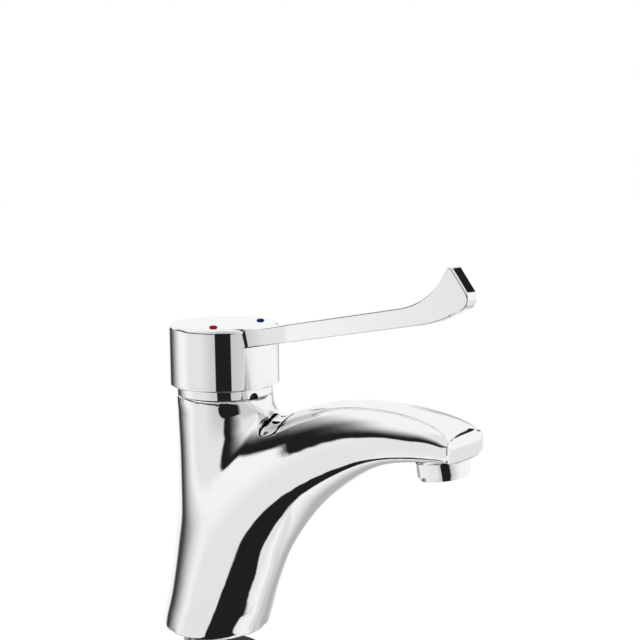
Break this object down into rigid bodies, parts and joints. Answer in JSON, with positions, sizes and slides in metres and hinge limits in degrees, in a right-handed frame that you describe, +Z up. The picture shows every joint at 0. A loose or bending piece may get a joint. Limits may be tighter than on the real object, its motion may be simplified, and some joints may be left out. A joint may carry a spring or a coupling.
{
  "type": "basin mixer tap",
  "caption": "Single-hole basin mixer with a curved cast spout, a round cap over a ceramic cartridge and a long upswept elbow lever.",
  "frame": {"origin": "centre of the round base on the basin deck", "axes": "+X towards the spout, +Z up out of the deck, hot on -Y, cold on +Y"},
  "size_m": [0.1681, 0.0518, 0.2397],
  "materials": {
    "chrome": "polished",
    "brass": "machined",
    "ceramic": "lapped ceramic",
    "cartridge_plastic": "moulded",
    "rotor_plastic": "moulded",
    "insert_plastic": "moulded",
    "steel": "zinc plated",
    "seal": "matt",
    "red_mark": "gloss",
    "blue_mark": "gloss",
    "stop_ring_plastic": "moulded"
  },
  "bodies": {
    "body": {"body_casting": "chrome", "inlet_block": "brass", "base_gasket": "seal", "collar_ring": "chrome", "cartridge_nut": "brass", "cartridge_base": "cartridge_plastic", "port_seals": "seal", "fixed_disc": "ceramic", "cartridge_housing": "cartridge_plastic", "housing_seal": "seal", "stop_ring": "stop_ring_plastic", "aerator_housing": "chrome", "aerator_insert": "insert_plastic", "aerator_seal": "seal", "fixing_studs": "steel", "horseshoe_pad": "seal", "clamp_plate": "steel", "stud_nuts": "brass"},
    "rotor": {"rotor": "rotor_plastic", "stem_pin": "steel"},
    "handle": {"lever_handle": "chrome", "lever_stem": "brass", "hot_marker": "red_mark", "cold_marker": "blue_mark", "grub_screw": "steel"},
    "mixing": {"moving_disc": "ceramic", "disc_carrier": "rotor_plastic"}
  },
  "joints": [
    {"name": "temperature_turn", "type": "hinge", "parent": "body", "child": "rotor", "pos_m": [0.0084, 0, 0.109], "axis": [0, 0, 1], "range_deg": [-45, 45]},
    {"name": "flow_lift", "type": "hinge", "parent": "rotor", "child": "handle", "pos_m": [0.0084, 0, 0.109], "axis": [0, -1, 0], "range_deg": [0, 20]},
    {"name": "disc_slide", "type": "slide", "parent": "rotor", "child": "mixing", "axis": [1, 0, 0], "range_m": [0, 0.0049]}
  ],
  "couplings": [
    {"joint": "disc_slide", "follows": "flow_lift", "m_per_rad": 0.0138}
  ]
}
